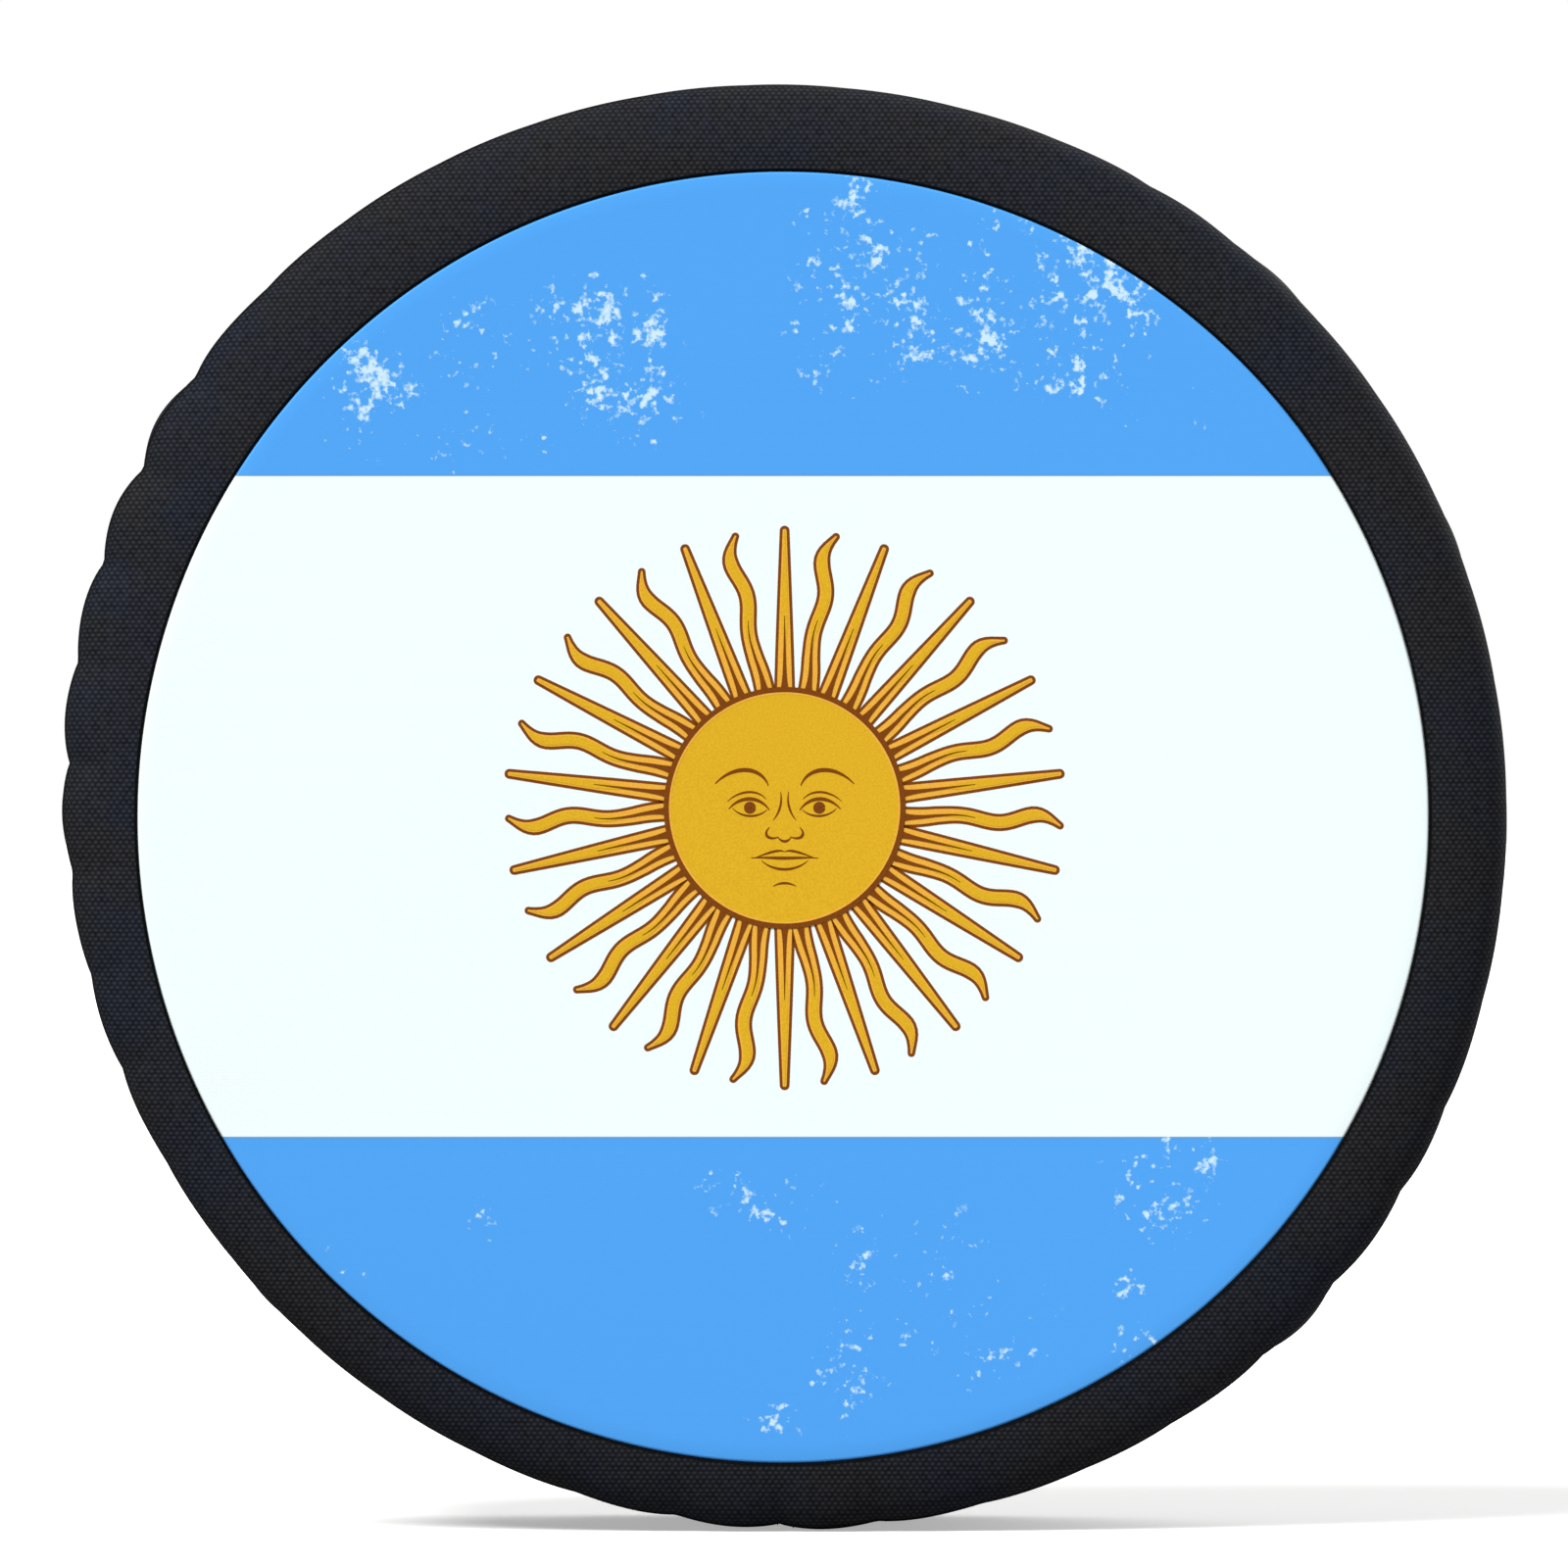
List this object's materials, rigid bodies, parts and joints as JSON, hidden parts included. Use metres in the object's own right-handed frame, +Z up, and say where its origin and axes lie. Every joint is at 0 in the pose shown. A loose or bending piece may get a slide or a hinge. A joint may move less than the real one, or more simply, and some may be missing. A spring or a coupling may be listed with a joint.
{
  "type": "spare tire cover",
  "caption": "Round sewn cloth cover for a spare wheel: striped printed face, black ring and side band, elastic mouth at the back.",
  "frame": {"origin": "on the wheel's axis, at the inner face of the printed front, where it bears on the tyre's sidewall", "axes": "+Y along the wheel's axis from the printed front to the open back, +Z up as the print stands, +X to the right seen from the front"},
  "size_m": [0.736, 0.2319, 0.7369],
  "materials": {
    "printed_cloth": "matt printed polyester cloth with a coated back",
    "black_oxford": "matt black oxford weave polyester with a coated back",
    "seam_binding": "matt black woven tape",
    "black_thread": "black polyester sewing thread",
    "braided_elastic": "off-white braided elastic"
  },
  "bodies": {
    "root": {"printed_disc": "printed_cloth", "front_ring": "black_oxford", "disc_seam_binding": "seam_binding", "disc_seam_thread": "black_thread", "side_band": "black_oxford", "edge_seam_binding": "seam_binding", "edge_seam_thread": "black_thread", "hem_thread": "black_thread", "hem_elastic": "braided_elastic", "elastic_bar_tack": "black_thread", "closing_seam_tape": "seam_binding", "closing_seam_thread_left": "black_thread", "closing_seam_thread_right": "black_thread"}
  },
  "joints": []
}
